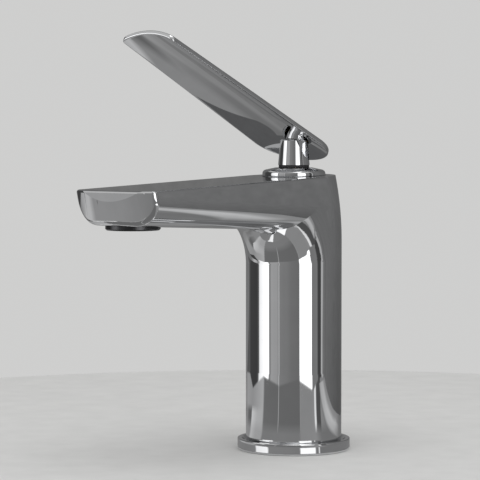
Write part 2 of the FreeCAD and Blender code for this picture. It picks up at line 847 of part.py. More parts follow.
def cartridge_fixed_pieces():
    """Base with its seals, fixed ceramic disc, housing and the washers round the rotor."""
    disc_r = dim("fixed_disc_diameter") / 2
    recess_r = disc_r + dim("inlet_seal_clearance")
    corners = [
        (NOUGHT, seat),
        (cartridge_r, seat),
        (cartridge_r, base_top),
        (recess_r, base_top),
        (recess_r, fixed_disc_bottom),
        (NOUGHT, fixed_disc_bottom),
    ]
    base = turned("cartridge_base", corners)
    holes = new_sketch(base, "inlets", "XY_Plane")
    recesses = new_sketch(base, "seal_recesses", "XY_Plane", offset=seat)
    seal_r = dim("inlet_seal_diameter") / 2
    for hand in (-1, 1):
        circle(holes, inlet_r, hand * dim("inlet_offset"))
        circle(recesses, seal_r + dim("inlet_seal_clearance"), hand * dim("inlet_offset"))
    pocket(base, holes)
    pocket(base, recesses, dim("inlet_seal_height"), upward=True)

    seals = new_body("inlet_seals", several_solids=True)
    rings = new_sketch(seals, "rings", "XY_Plane", offset=seat)
    for hand in (-1, 1):
        circle(rings, seal_r, hand * dim("inlet_offset"))
        circle(rings, inlet_r, hand * dim("inlet_offset"))
    pad(seals, rings, dim("inlet_seal_height"))

    fixed = turned("fixed_disc", ring_corners(NOUGHT, disc_r, fixed_disc_bottom, fixed_disc_top))
    ports = new_sketch(fixed, "ports", "XY_Plane")
    port_r = dim("disc_port_diameter") / 2
    for hand in (-1, 1):
        circle(ports, port_r, hand * dim("inlet_offset"))
    circle(ports, port_r, NOUGHT, -dim("outlet_port_offset"))
    pocket(fixed, ports)

    groove_r = cartridge_r - dim("seal_section") + dim("cartridge_clearance")
    groove_top = cartridge_top - dim("seal_drop")
    groove_bottom = groove_top - dim("seal_section") - 2 * dim("running_gap")
    neck_hole_r = neck_r + dim("shaft_clearance")
    corners = [
        (chamber_r, base_top),
        (cartridge_r, base_top),
        (cartridge_r, groove_bottom),
        (groove_r, groove_bottom),
        (groove_r, groove_top),
        (cartridge_r, groove_top),
        (cartridge_r, cartridge_top),
        (neck_hole_r, cartridge_top),
        (neck_hole_r, roof),
        (chamber_r, roof),
    ]
    housing = turned("cartridge_housing", corners)
    window = new_sketch(housing, "outlet_window", "XZ_Plane")
    half = dim("outlet_window_width") / 2
    corners = [
        (-half, fixed_disc_top),
        (half, fixed_disc_top),
        (half, fixed_disc_top + dim("outlet_window_height")),
        (-half, fixed_disc_top + dim("outlet_window_height")),
    ]
    outline(window, corners)
    pad_side = housing.newObject("PartDesign::Pocket", "outlet_window_pocket")
    pad_side.Profile = window
    pad_side.setExpression("Length", (cartridge_r + stock).text)
    pad_side.Reversed = True
    finish_feature(housing, pad_side, removes=True)

    seal_top = groove_top - dim("running_gap")
    seal_outer = groove_r + dim("seal_section")
    turned("housing_seal", ring_corners(groove_r, seal_outer, seal_top - dim("seal_section"), seal_top))

    washer_bottom = rotor_top + dim("running_gap")
    washer_top = washer_bottom + dim("washer_thickness")
    washer_inner = neck_r + dim("guide_leg_gap")
    turned("thrust_washer", ring_corners(washer_inner, rotor_r, washer_bottom, washer_top))


def cartridge_nut_and_cap():
    nut_r = dim("nut_diameter") / 2
    collar_r = dim("nut_collar_diameter") / 2
    nut_bore_r = dim("nut_bore_diameter") / 2
    collar_top = cap_seat + dim("nut_collar_height")
    corners = [
        (nut_bore_r, cartridge_top),
        (nut_r, cartridge_top),
        (nut_r, cap_seat),
        (collar_r, cap_seat),
        (collar_r, collar_top),
        (nut_bore_r, collar_top),
    ]
    nut = turned("cartridge_nut", corners)
    slots = new_sketch(nut, "spanner_slots", "XY_Plane", offset=collar_top)
    half = dim("nut_slot_width") / 2
    outline(slots, [(-half, -nut_r), (half, -nut_r), (half, nut_r), (-half, nut_r)])
    slot = pocket(nut, slots, dim("nut_collar_height"))
    pattern = nut.newObject("PartDesign::PolarPattern", "spanner_slot_pattern")
    pattern.Originals = [slot]
    pattern.Axis = (slots, ["N_Axis"])
    pattern.Angle = FULL_TURN_ANGLE / 2
    pattern.Occurrences = 2
    nut.Tip = pattern
    doc.recompute()

    outer = dim("cap_diameter") / 2
    edge = dim("cap_edge")
    rim_top = cap_seat + dim("cap_rim_height")
    bore = yoke_r + dim("shaft_clearance")
    cone_r = dim("cap_top_diameter") / 2
    inner = collar_r + thread_gap
    ceiling = collar_top + dim("running_gap")
    corners = [
        (inner, cap_seat),
        (outer, cap_seat),
        (outer, rim_top - edge),
        (outer - edge, rim_top),
        (cone_r, cap_top),
        (bore, cap_top),
        (bore, cap_top - dim("cap_wall")),
        (inner, ceiling),
    ]
    turned("cover_cap", corners)


def swivel_pieces():
    """Rotor with its guide legs, yoke, decorative post, pins and the post's screw."""
    neck_top = cartridge_top + dim("neck_projection")
    corners = [
        (NOUGHT, rotor_bottom),
        (rotor_r, rotor_bottom),
        (rotor_r, rotor_top),
        (neck_r, rotor_top),
        (neck_r, neck_top),
        (NOUGHT, neck_top),
    ]
    rotor = turned("stem_rotor", corners)
    legs = new_sketch(rotor, "guide_legs", "XY_Plane", offset=rotor_bottom)
    inner = dim("carrier_flat_offset") + dim("guide_leg_gap")
    outer = inner + dim("guide_leg_thickness")
    half = dim("guide_leg_width") / 2
    for hand in (-1, 1):
        near, far = hand * inner, hand * outer
        outline(legs, [(near, -half), (far, -half), (far, half), (near, half)])
    pad(rotor, legs, dim("guide_leg_length"), downward=True)
    slot = new_sketch(rotor, "stem_slot", "XY_Plane")
    width = dim("stem_slot_width") / 2
    straight = dim("stem_slot_length") / 2 - width
    corners = [
        (width, -straight, "y"),
        (width, straight, "y"),
        (-width, straight, "y"),
        (-width, -straight, "y"),
    ]
    arcs = {
        1: (NOUGHT, straight, width, ANTICLOCKWISE),
        3: (NOUGHT, -straight, width, ANTICLOCKWISE),
    }
    outline(slot, corners, arcs)
    pocket(rotor, slot)
    pin_hole = new_sketch(rotor, "pin_hole", "YZ_Plane")
    circle(pin_hole, stem_pin_r + dim("pin_fit"), NOUGHT, stem_pin)
    pocket(rotor, pin_hole)

    cross_pin("stem_pin", stem_pin_r, dim("stem_pin_half_length"), stem_pin)

    yoke_bottom = cartridge_top + dim("yoke_foot_gap")
    yoke_top = post_top - dim("post_lip") - dim("yoke_top_gap")
    yoke = turned("lever_yoke", ring_corners(yoke_bore_r, yoke_r, yoke_bottom, yoke_top))
    cut_rear(yoke, yoke_top, dim("yoke_rear_angle"))
    pin_hole = new_sketch(yoke, "pin_hole", "YZ_Plane")
    circle(pin_hole, pivot_pin_r + dim("pin_fit"), NOUGHT, pivot)
    pocket(yoke, pin_hole)

    sleeve_r = yoke_r + thread_gap
    pin_end = root(sleeve_r * sleeve_r - pivot_pin_r * pivot_pin_r) - dim("running_gap")
    cross_pin("pivot_pin", pivot_pin_r, pin_end, pivot)

    base_r = dim("post_base_diameter") / 2
    top_r = dim("post_top_diameter") / 2
    edge = dim("post_edge")
    lip_bottom = post_top - dim("post_lip")
    lip_r = dim("post_lip_bore") / 2
    corners = [
        (sleeve_r, post_bottom),
        (base_r, post_bottom),
        (top_r, post_top - edge),
        (top_r - edge, post_top),
        (lip_r, post_top),
        (lip_r, lip_bottom),
        (sleeve_r, lip_bottom),
    ]
    post = turned("lever_post", corners)
    cut_rear(post, post_top, dim("post_rear_angle"))
    screw_r = dim("post_screw_diameter") / 2
    screw_hole = new_sketch(post, "screw_hole", "XZ_Plane")
    circle(screw_hole, screw_r + thread_gap, NOUGHT, post_screw)
    pocket(post, screw_hole, base_r + stock)

    screw = new_body("post_screw")
    section = new_sketch(screw, "section", "XZ_Plane", offset=-(sleeve_r + dim("running_gap")))
    circle(section, screw_r, NOUGHT, post_screw)
    pad(screw, section, dim("post_screw_length"), downward=True)


def cross_pin(label, radius, half_length, height):
    body = new_body(label)
    section = new_sketch(body, "section", "YZ_Plane")
    circle(section, radius, NOUGHT, height)
    pad(body, section, 2 * half_length, symmetric=True)


def cut_rear(body, top, angle):
    """Slope the rear half of a sleeve's top down, clear of the lever's heel."""
    slope = new_sketch(body, "rear_slope", "YZ_Plane")
    back = dim("post_base_diameter")
    above = top + stock
    outline(slope, [(NOUGHT, top), (back, top - back * tangent(angle)), (back, above), (NOUGHT, above)])
    pocket(body, slope)


def lever_blade():
    """Domed leaf, part sphere and part cone, trimmed to its plan, with the boss under it."""
    rim_drop = dim("lever_rim_drop")
    dome = dim("lever_dome_height")
    thickness = dim("lever_thickness")
    heel_r = dim("lever_heel_radius")
    heel = dim("lever_heel_offset")
    length = dim("lever_length")
    sphere_r = (heel_r * heel_r + dome * dome) / (2 * dome)
    rim_height = sphere_r - dome
    taper = dim("lever_taper_angle")
    tip_half = heel_r / cosine(taper) - (length - heel) * tangent(taper)
    tip_r = root(rim_height * rim_height + tip_half * tip_half)
    fall = (sphere_r - tip_r) / (length - heel)
    along_cone = 1 / root(1 + fall * fall)
    front = -(length + stock)
    diagonal = as_size(DIAGONAL_ANGLE)

    # The dome's axis runs along the lever, below it, at the sphere's centre.
    blade = new_body("lever_blade")
    profile = new_sketch(blade, "dome", "YZ_Plane")
    profile.setExpression("AttachmentOffset.Base.y", (-rim_drop - rim_height).text)
    corners = []
    for radius in (sphere_r, sphere_r + thickness):
        meet = -heel - radius * along_cone * fall
        meet_r = radius * along_cone
        face = [
            (radius * cosine(diagonal) - heel, radius * sine(diagonal), "x"),
            (meet, meet_r, "x"),
            (front, meet_r - (meet - front) * fall),
        ]
        corners.append(face)
    inner, outer = corners
    arcs = {
        0: (-heel, NOUGHT, sphere_r, ANTICLOCKWISE),
        4: (-heel, NOUGHT, sphere_r + thickness, CLOCKWISE),
    }
    outline(profile, inner + outer[::-1], arcs)
    revolve(blade, profile, dim("lever_dome_spread"), "H_Axis")

    plan = new_sketch(blade, "leaf", "XY_Plane")
    leaf_outline(plan)
    rim = heel_r + 2 * stock
    outline(plan, [
        (-rim, heel_r + 2 * stock),
        (rim, heel_r + 2 * stock),
        (rim, -(length + 2 * stock)),
        (-rim, -(length + 2 * stock)),
    ])
    pocket(blade, plan)

    boss_bottom = dim("lever_boss_start")
    boss = new_sketch(blade, "boss", "XY_Plane", offset=boss_bottom)
    circle(boss, dim("lever_boss_diameter") / 2)
    pad(blade, boss, dome - rim_drop + thickness / 4 - boss_bottom)
    socket = new_sketch(blade, "socket", "XY_Plane", offset=boss_bottom)
    circle(socket, dim("knuckle_shank_diameter") / 2 + thread_gap)
    pocket(blade, socket, dim("knuckle_shank_length") - boss_bottom + thread_gap, upward=True)
    seat_on_pivot(blade)


def leaf_outline(plan):
    """Plan of the lever: round heel, tapering sides and a bowed tip with rounded corners."""
    heel_r = dim("lever_heel_radius")
    heel = dim("lever_heel_offset")
    taper = dim("lever_taper_angle")
    shoulder = heel_r * cosine(taper)
    shoulder_along = -heel - heel_r * sine(taper)
    bow = dim("lever_tip_radius")
    blend = dim("lever_tip_corner")
    tip_centre = bow - dim("lever_length")
    # The corner's centre lies at its radius inside both the straight side and the bowed tip.
    inside = heel_r - blend
    reach = tip_centre + heel
    lean = inside * sine(taper) - reach * cosine(taper) * cosine(taper)
    span = reach * reach - (bow - blend) * (bow - blend)
    corner_drop = -lean - root(lean * lean - inside * inside - span * cosine(taper) * cosine(taper))
    corner_along = corner_drop - heel
    corner = (inside + sine(taper) * corner_drop) / cosine(taper)
    side_end = corner + blend * cosine(taper)
    side_end_along = corner_along - blend * sine(taper)
    growth = bow / (bow - blend)
    tip_end = corner * growth
    tip_end_along = tip_centre + (corner_along - tip_centre) * growth
    corners = [
        (side_end, side_end_along, "smooth"),
        (shoulder, shoulder_along, "y"),
        (-shoulder, shoulder_along, "y"),
        (-side_end, side_end_along, "smooth"),
        (-tip_end, tip_end_along, "smooth"),
        (tip_end, tip_end_along, "smooth"),
    ]
    arcs = {
        1: (NOUGHT, -heel, heel_r, ANTICLOCKWISE),
        3: (-corner, corner_along, blend, ANTICLOCKWISE, FREE),
        4: (NOUGHT, tip_centre, bow, ANTICLOCKWISE),
        5: (corner, corner_along, blend, ANTICLOCKWISE, FREE),
    }
    outline(plan, corners, arcs)


def lever_knuckle():
    """Ball-shaped hub on the pivot pin, with the shank of the lever and the drive tail."""
    knuckle = new_body("lever_knuckle")
    hub_r = dim("knuckle_diameter") / 2
    shank_r = dim("knuckle_shank_diameter") / 2
    flat = dim("lever_boss_start") - dim("running_gap")
    profile = new_sketch(knuckle, "hub", "YZ_Plane")
    corners = [
        (NOUGHT, -hub_r, "x"),
        (root(hub_r * hub_r - flat * flat), flat, "y"),
        (shank_r, flat),
        (shank_r, dim("knuckle_shank_length")),
        (NOUGHT, dim("knuckle_shank_length")),
    ]
    outline(profile, corners, {0: (NOUGHT, NOUGHT, hub_r, ANTICLOCKWISE)})
    revolve(knuckle, profile)

    arm = dim("tail_arm")
    tail_r = dim("tail_diameter") / 2
    ball_r = dim("tail_ball_diameter") / 2
    shoulder_r = dim("tail_shoulder_diameter") / 2
    shoulder = -dim("tail_shoulder")
    tail = new_sketch(knuckle, "tail", "YZ_Plane", turn=half_lift)
    corners = [
        (NOUGHT, -arm - ball_r, "x"),
        (tail_r, -arm + root(ball_r * ball_r - tail_r * tail_r), "x"),
        (tail_r, shoulder),
        (shoulder_r, shoulder + shoulder_r - tail_r),
        (shoulder_r, NOUGHT),
        (NOUGHT, NOUGHT),
    ]
    outline(tail, corners, {0: (NOUGHT, -arm, ball_r, ANTICLOCKWISE)})
    revolve(knuckle, tail)

    bush_bore_r = pivot_pin_r + dim("running_gap")
    bush_r = bush_bore_r + dim("bush_wall")
    hole = new_sketch(knuckle, "bush_hole", "YZ_Plane")
    circle(hole, bush_r + dim("pin_fit"))
    pocket(knuckle, hole)
    seat_on_pivot(knuckle)

    bushes = new_body("pivot_bushes", several_solids=True)
    end = root(hub_r * hub_r - bush_r * bush_r) - dim("running_gap")
    for name, hand in (("left", -1), ("right", 1)):
        section = new_sketch(bushes, name, "YZ_Plane", offset=hand * (end - dim("bush_length")))
        circle(section, bush_r)
        circle(section, bush_bore_r)
        pad(bushes, section, dim("bush_length"), downward=hand < 0)
    seat_on_pivot(bushes)


def stem_pieces():
    """Stem that hangs on its pin, and the carrier and disc that its foot pushes."""
    arm = stem_foot_arm
    ball_r = dim("stem_foot_ball") / 2
    foot_neck_r = dim("stem_foot_neck") / 2
    stem_r = dim("stem_diameter") / 2
    tail_ball_r = dim("tail_ball_diameter") / 2
    socket_r = tail_ball_r + dim("stem_cup_clearance")
    cup_r = dim("stem_cup_diameter") / 2
    cup_floor = stem_arm - tail_ball_r - dim("stem_cup_relief")
    cup_rim = stem_arm + dim("stem_cup_rim")
    neck_end = -arm + dim("stem_neck_length")
    corners = [
        (NOUGHT, -arm - ball_r, "x"),
        (foot_neck_r, -arm + root(ball_r * ball_r - foot_neck_r * foot_neck_r), "x"),
        (foot_neck_r, neck_end),
        (stem_r, neck_end + dim("stem_neck_taper")),
        (stem_r, cup_floor - dim("stem_cup_flare")),
        (cup_r, cup_floor),
        (cup_r, cup_rim),
        (socket_r, cup_rim),
        (socket_r, cup_floor),
        (NOUGHT, cup_floor),
    ]
    stem = turned("control_stem", corners, {0: (NOUGHT, -arm, ball_r, ANTICLOCKWISE)})
    hole = new_sketch(stem, "pin_hole", "YZ_Plane")
    circle(hole, stem_pin_r + dim("running_gap"))
    pocket(stem, hole)
    tilt(stem, stem_rest_angle, V(1, 0, 0))
    place(stem, up=stem_pin)

    disc_r = dim("moving_disc_diameter") / 2
    disc = turned("moving_disc", ring_corners(NOUGHT, disc_r, moving_disc_bottom, carrier_bottom))
    mixing = new_sketch(disc, "mixing_pocket", "XY_Plane", offset=moving_disc_bottom)
    circle(mixing, dim("moving_disc_pocket") / 2)
    pocket(disc, mixing, dim("moving_disc_pocket_depth"), upward=True)
    place(disc, along=disc_rest)

    carrier = turned("disc_carrier", ring_corners(NOUGHT, disc_r, carrier_bottom, carrier_top))
    flats = new_sketch(carrier, "flats", "XY_Plane")
    for hand in (-1, 1):
        near, far = hand * dim("carrier_flat_offset"), hand * (disc_r + dim("blind_relief"))
        outline(flats, [(near, -disc_r), (far, -disc_r), (far, disc_r), (near, disc_r)])
    pocket(carrier, flats)
    foot_centre = stem_pin - arm
    floor = foot_centre - ball_r - dim("stem_foot_floor")
    socket = new_sketch(carrier, "socket", "XY_Plane", offset=carrier_top)
    circle(socket, ball_r + dim("stem_foot_clearance"))
    pocket(carrier, socket, carrier_top - floor)
    place(carrier, along=disc_rest)


def hole_ring(body, name, radius, offset, count):
    """Ring of equal through holes about the body's axis."""
    seed = new_sketch(body, name, "XY_Plane")
    circle(seed, radius, offset)
    first = pocket(body, seed)
    pattern = body.newObject("PartDesign::PolarPattern", f"{body.Label}_{name}_pattern")
    pattern.Originals = [first]
    pattern.Axis = (seed, ["N_Axis"])
    pattern.Angle = FULL_TURN_ANGLE
    pattern.Occurrences = count
    body.Tip = pattern
    doc.recompute()


def aerator_pieces():
    """Screwed housing, perforated screen, flow insert and sealing washer."""
    bottom = aerator_seat - dim("aerator_flange_height")
    top = aerator_seat + dim("aerator_thread_length")
    flange_r = dim("aerator_flange_diameter") / 2
    mouth_r = dim("aerator_mouth") / 2
    inside_r = dim("aerator_bore") / 2
    lip_top = bottom + dim("aerator_lip")
    edge = 2 * CHAMFER
    corners = [
        (mouth_r, bottom),
        (flange_r - edge, bottom),
        (flange_r, bottom + edge),
        (flange_r, aerator_seat),
        (aerator_thread_r, aerator_seat),
        (aerator_thread_r, top),
        (inside_r, top),
        (inside_r, lip_top),
        (mouth_r, lip_top),
    ]
    pieces = [turned("aerator_housing", corners)]

    insert_r = inside_r - dim("aerator_fit")
    screen_top = lip_top + dim("aerator_screen_thickness")
    screen = turned("aerator_screen", ring_corners(NOUGHT, insert_r, lip_top, screen_top))
    hole_r = dim("aerator_hole_diameter") / 2
    centre = new_sketch(screen, "centre_hole", "XY_Plane")
    circle(centre, hole_r)
    pocket(screen, centre)
    hole_ring(screen, "outer_holes", hole_r, dim("aerator_hole_pitch"), HEXAGON_COUNT)
    pieces.append(screen)

    cup_r = insert_r - dim("aerator_cup_wall")
    cup_floor = top - dim("aerator_cup_wall")
    corners = [
        (cup_r, screen_top),
        (insert_r, screen_top),
        (insert_r, top),
        (NOUGHT, top),
        (NOUGHT, cup_floor),
        (cup_r, cup_floor),
    ]
    insert = turned("aerator_insert", corners)
    feed_r = dim("aerator_feed_diameter") / 2
    hole_ring(insert, "feed_holes", feed_r, dim("aerator_feed_offset"), HEXAGON_COUNT)
    pieces.append(insert)

    washer_inner = aerator_thread_r - dim("aerator_washer_width")
    pieces.append(turned("aerator_washer", ring_corners(washer_inner, aerator_thread_r, top, aerator_top)))
    for piece in pieces:
        place(piece, along=-dim("aerator_offset"))


def seat_on_pivot(body):
    """Hang a piece of the lever on its pivot, leaning back at the open position."""
    tilt(body, dim("lever_open_angle"), V(-1, 0, 0))
    place(body, up=pivot)


mixer_body()
base_pieces()
inlet_manifold()
clamp_pieces()
cartridge_fixed_pieces()
cartridge_nut_and_cap()
swivel_pieces()
lever_blade()
lever_knuckle()
stem_pieces()
aerator_pieces()
doc.recompute()

for item in doc.Objects:
    if "Invalid" in item.State or "Error" in item.State:
        raise ValueError(f"{item.Label} failed: {item.State}")
for piece in PIECES:
    if piece.Shape.isNull() or not piece.Shape.isValid():
        raise ValueError(f"{piece.Label} has no valid shape")

os.makedirs("parts", exist_ok=True)
for piece in PIECES:
    piece.Shape.exportStep(f"parts/{piece.Label}.step")
    print(f"{piece.Label}: {len(piece.Shape.Solids)} solid(s), {piece.Shape.Volume:.1f} mm3")
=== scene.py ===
import json
import math

import bmesh
import bpy
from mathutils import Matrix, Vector


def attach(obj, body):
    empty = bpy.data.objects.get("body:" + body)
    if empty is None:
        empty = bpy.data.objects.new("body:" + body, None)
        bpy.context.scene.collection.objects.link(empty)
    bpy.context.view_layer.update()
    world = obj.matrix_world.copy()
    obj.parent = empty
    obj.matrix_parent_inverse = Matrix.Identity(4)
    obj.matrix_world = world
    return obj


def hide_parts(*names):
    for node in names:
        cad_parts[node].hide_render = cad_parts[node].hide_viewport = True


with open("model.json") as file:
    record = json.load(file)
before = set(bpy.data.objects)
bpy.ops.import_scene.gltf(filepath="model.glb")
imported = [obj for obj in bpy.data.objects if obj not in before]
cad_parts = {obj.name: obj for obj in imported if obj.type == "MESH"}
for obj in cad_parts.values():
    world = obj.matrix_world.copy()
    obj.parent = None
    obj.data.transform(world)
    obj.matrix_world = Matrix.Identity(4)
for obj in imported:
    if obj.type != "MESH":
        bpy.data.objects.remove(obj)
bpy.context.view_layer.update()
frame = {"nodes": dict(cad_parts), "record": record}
scene = bpy.context.scene
MM = 0.001

# Camera: a long lens to the spout's right, a little above the cap, looking slightly down. Metres.
CAMERA_PLACE = (0.6618, -0.8890, 0.158)
CAMERA_AZIMUTH = math.radians(38.0)
CAMERA_PITCH = math.radians(2.97)
CLIP_START, CLIP_END = 0.05, 50.0
SENSOR_MM = 36.0
FOCAL_PIXELS = 2312.0
FRAME_PIXELS = 480.0


def add_camera():
    camera = bpy.data.objects.new("camera", bpy.data.cameras.new("camera"))
    scene.collection.objects.link(camera)
    camera.location = CAMERA_PLACE
    camera.rotation_euler = (math.pi / 2 - CAMERA_PITCH, 0.0, CAMERA_AZIMUTH)
    camera.data.sensor_width = SENSOR_MM
    camera.data.lens = FOCAL_PIXELS / FRAME_PIXELS * SENSOR_MM
    camera.data.clip_start = CLIP_START
    camera.data.clip_end = CLIP_END
    scene.camera = camera


# Finishes: how fine the noise is, where its two tones lie and how strong its relief is.
METAL_DETAIL = 6.0
METAL_BUMP = 0.3
SOLID_DETAIL = 8.0
SOLID_BUMP = 0.4
TONE_PLACES = (0.3, 0.7)


def noise(tree, scale, detail, finer=(1, 1, 1)):
    """Noise in object space, in metres, made finer along the axes by the given factors."""
    coords = tree.nodes.new("ShaderNodeTexCoord")
    mapping = tree.nodes.new("ShaderNodeMapping")
    mapping.inputs["Scale"].default_value = finer
    texture = tree.nodes.new("ShaderNodeTexNoise")
    texture.inputs["Scale"].default_value = scale
    texture.inputs["Detail"].default_value = detail
    tree.links.new(coords.outputs["Object"], mapping.inputs["Vector"])
    tree.links.new(mapping.outputs["Vector"], texture.inputs["Vector"])
    return texture.outputs["Fac"]


def tones(tree, source, dark, light):
    """Colour from a dark tone to a light one."""
    node = tree.nodes.new("ShaderNodeValToRGB")
    for element, place, colour in zip(node.color_ramp.elements, TONE_PLACES, (dark, light)):
        element.position = place
        element.color = (*colour, 1.0)
    tree.links.new(source, node.inputs["Fac"])
    return node.outputs["Color"]


def spread(tree, source, low, high):
    """Number from a low limit to a high one."""
    node = tree.nodes.new("ShaderNodeMapRange")
    node.inputs["To Min"].default_value = low
    node.inputs["To Max"].default_value = high
    tree.links.new(source, node.inputs["Value"])
    return node.outputs["Result"]


def bump(tree, source, shader, depth, strength):
    node = tree.nodes.new("ShaderNodeBump")
    node.inputs["Distance"].default_value = depth
    node.inputs["Strength"].default_value = strength
    tree.links.new(source, node.inputs["Height"])
    tree.links.new(node.outputs["Normal"], shader.inputs["Normal"])


def uneven(name, dark, light, rough, grain, detail, finer=(1, 1, 1)):
    """Material whose tone and roughness follow one field of noise; gives that field too."""
    material = bpy.data.materials.new(name)
    material.use_nodes = True
    tree = material.node_tree
    shader = tree.nodes["Principled BSDF"]
    field = noise(tree, grain, detail, finer)
    tree.links.new(tones(tree, field, dark, light), shader.inputs["Base Color"])
    tree.links.new(spread(tree, field, *rough), shader.inputs["Roughness"])
    return material, tree, shader, field


def metal(name, dark, light, rough, grain, finer=(1, 1, 1), relief=0.0):
    """Metal with uneven tone and gloss, and with relief if a depth is given."""
    material, tree, shader, field = uneven(name, dark, light, rough, grain, METAL_DETAIL, finer)
    shader.inputs["Metallic"].default_value = 1.0
    if relief:
        bump(tree, field, shader, relief, METAL_BUMP)
    return material


def solid(name, dark, light, rough, grain, relief):
    """Material that isn't metal, with uneven tone and gloss and a slight relief."""
    material, tree, shader, field = uneven(name, dark, light, rough, grain, SOLID_DETAIL)
    bump(tree, field, shader, relief, SOLID_BUMP)
    return material


MATERIALS = {
    "chrome": metal("chrome", (0.68, 0.685, 0.695), (0.72, 0.725, 0.735), (0.015, 0.035), 90.0),
    "brass": metal("brass", (0.62, 0.45, 0.20), (0.78, 0.60, 0.30), (0.22, 0.34), 700.0,
                   finer=(1, 1, 6), relief=0.00002),
    "steel": metal("steel", (0.48, 0.48, 0.49), (0.60, 0.60, 0.61), (0.20, 0.34), 900.0,
                   finer=(1, 1, 8), relief=0.00002),
    "rubber": solid("rubber", (0.018, 0.018, 0.02), (0.04, 0.04, 0.043), (0.55, 0.8), 1500.0, 0.00006),
    "plastic": solid("plastic", (0.60, 0.61, 0.62), (0.74, 0.75, 0.76), (0.35, 0.5), 1200.0, 0.00003),
    "ceramic": solid("ceramic", (0.78, 0.77, 0.73), (0.88, 0.87, 0.84), (0.12, 0.25), 900.0, 0.00001),
}
KNUCKLE_STEEL = metal("polished_steel", (0.46, 0.46, 0.47), (0.52, 0.52, 0.53), (0.03, 0.07), 200.0)
# Aerator's chrome: a copy of the chrome darkened by painted shade, as the aerator sits in shade under the
# spout.
CHROME_PAINTED_SHADE = metal("chrome_painted_shade", (0.06, 0.06, 0.063), (0.09, 0.09, 0.093), (0.24, 0.34), 120.0)
OWN_MATERIALS = {"lever_knuckle": KNUCKLE_STEEL, "aerator_housing": CHROME_PAINTED_SHADE}


def dress_nodes():
    for node in frame["record"]["subparts"]:
        mesh = frame["nodes"][node["node"]].data
        mesh.materials.clear()
        mesh.materials.append(OWN_MATERIALS.get(node["node"], MATERIALS[node["material_slot"]]))


# Making pieces: edges that bend by more than PIECE_SHARP degrees stay sharp in shading.
PIECE_SHARP = 40.0
CORNER_STEPS = 6


def add_mesh(name, points, faces):
    mesh = bpy.data.meshes.new(name)
    mesh.from_pydata(points, [], faces)
    mesh.update()
    item = bpy.data.objects.new(name, mesh)
    scene.collection.objects.link(item)
    return item


def add_piece(name, shells, body, slot, nodes=(), sharp=PIECE_SHARP):
    """Piece made of shells (points in millimetres, faces) that rides a body and stands for nodes."""
    points, faces = [], []
    for shell_points, shell_faces in shells:
        first = len(points)
        points += [(x * MM, y * MM, z * MM) for x, y, z in shell_points]
        faces += [tuple(first + corner for corner in face) for face in shell_faces]
    item = add_mesh(name, points, faces)
    item.data.shade_smooth()
    item.data.set_sharp_from_angle(angle=math.radians(sharp))
    item.data.materials.append(MATERIALS[slot])
    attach(item, body)
    if nodes:
        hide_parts(*nodes)
    return item


def rounded(corners):
    """Closed outline from corners (across, up, radius), with arcs at those that have a radius."""
    points = []
    for number, (across, up, radius) in enumerate(corners):
        here = Vector((across, up))
        if not radius:
            points.append((across, up))
            continue
        back = (Vector(corners[number - 1][:2]) - here).normalized()
        ahead = (Vector(corners[(number + 1) % len(corners)][:2]) - here).normalized()
        half = back.angle(ahead) / 2
        centre = here + (back + ahead).normalized() * (radius / math.sin(half))
        start = here + back * (radius / math.tan(half)) - centre
        end = here + ahead * (radius / math.tan(half)) - centre
        first = math.atan2(start.y, start.x)
        turn = math.remainder(math.atan2(end.y, end.x) - first, 2 * math.pi)
        for step in range(CORNER_STEPS + 1):
            angle = first + turn * step / CORNER_STEPS
            points.append((centre.x + radius * math.cos(angle), centre.y + radius * math.sin(angle)))
    return points


def spun(profile_at, segments, along=0.0):
    """Shell round an upright axis whose closed profile (radius, height) depends on the angle."""
    points, faces = [], []
    for step in range(segments):
        turn = 2 * math.pi * step / segments
        profile = profile_at(turn)
        points += [(r * math.cos(turn), along + r * math.sin(turn), z) for r, z in profile]
    count = len(profile)
    for step in range(segments):
        here, there = step * count, (step + 1) % segments * count
        for low in range(count):
            high = (low + 1) % count
            faces.append((here + low, there + low, there + high, here + high))
    return points, faces


def turned(corners, segments):
    """Shell of a closed outline (radius, height, rounding) turned about an upright axis."""
    profile = rounded(corners)
    return spun(lambda turn: profile, segments)


# Casting: the spout's top edges and the edge of its lip are rounded. Metres, and BODY_SHARP in degrees.
BODY_EDGE = 0.0012
BODY_EDGE_STEPS = 4
BODY_EDGE_ROUND = 0.5
BODY_EDGE_LOWEST = 0.1222
BODY_EDGE_REAR = -0.0059
BODY_BORE = 0.016
BODY_SHARP = 25.0
SAME_POINT = 1e-6
FLAT_ANGLE = math.radians(0.3)
EDGE_ANGLE = math.radians(55.0)


def on_top_edge(edge):
    """Whether an edge belongs to the sharp outline of the spout's top, outside the cartridge's bore."""
    for corner in edge.verts:
        x, y, z = corner.co
        if z < BODY_EDGE_LOWEST or y > BODY_EDGE_REAR or math.hypot(x, y) < BODY_BORE:
            return False
    return edge.calc_face_angle() > EDGE_ANGLE


def add_body():
    """Casting made from its node's mesh, with its flats joined and the spout's top edges rounded."""
    work = bmesh.new()
    work.from_mesh(frame["nodes"]["mixer_body"].data)
    bmesh.ops.remove_doubles(work, verts=work.verts, dist=SAME_POINT)
    bmesh.ops.dissolve_limit(work, angle_limit=FLAT_ANGLE, verts=work.verts, edges=work.edges)
    edges = [edge for edge in work.edges if on_top_edge(edge)]
    bmesh.ops.bevel(work, geom=edges, offset=BODY_EDGE, offset_type="OFFSET", segments=BODY_EDGE_STEPS,
                    profile=BODY_EDGE_ROUND, affect="EDGES", clamp_overlap=False)
    work.verts.index_update()
    points = [tuple(corner.co / MM) for corner in work.verts]
    faces = [tuple(corner.index for corner in face.verts) for face in work.faces]
    work.free()
    item = add_piece("body_cast", [(points, faces)], "root", "chrome", ["mixer_body"], BODY_SHARP)
    item.modifiers.new("even_shading", "WEIGHTED_NORMAL").keep_sharp = True


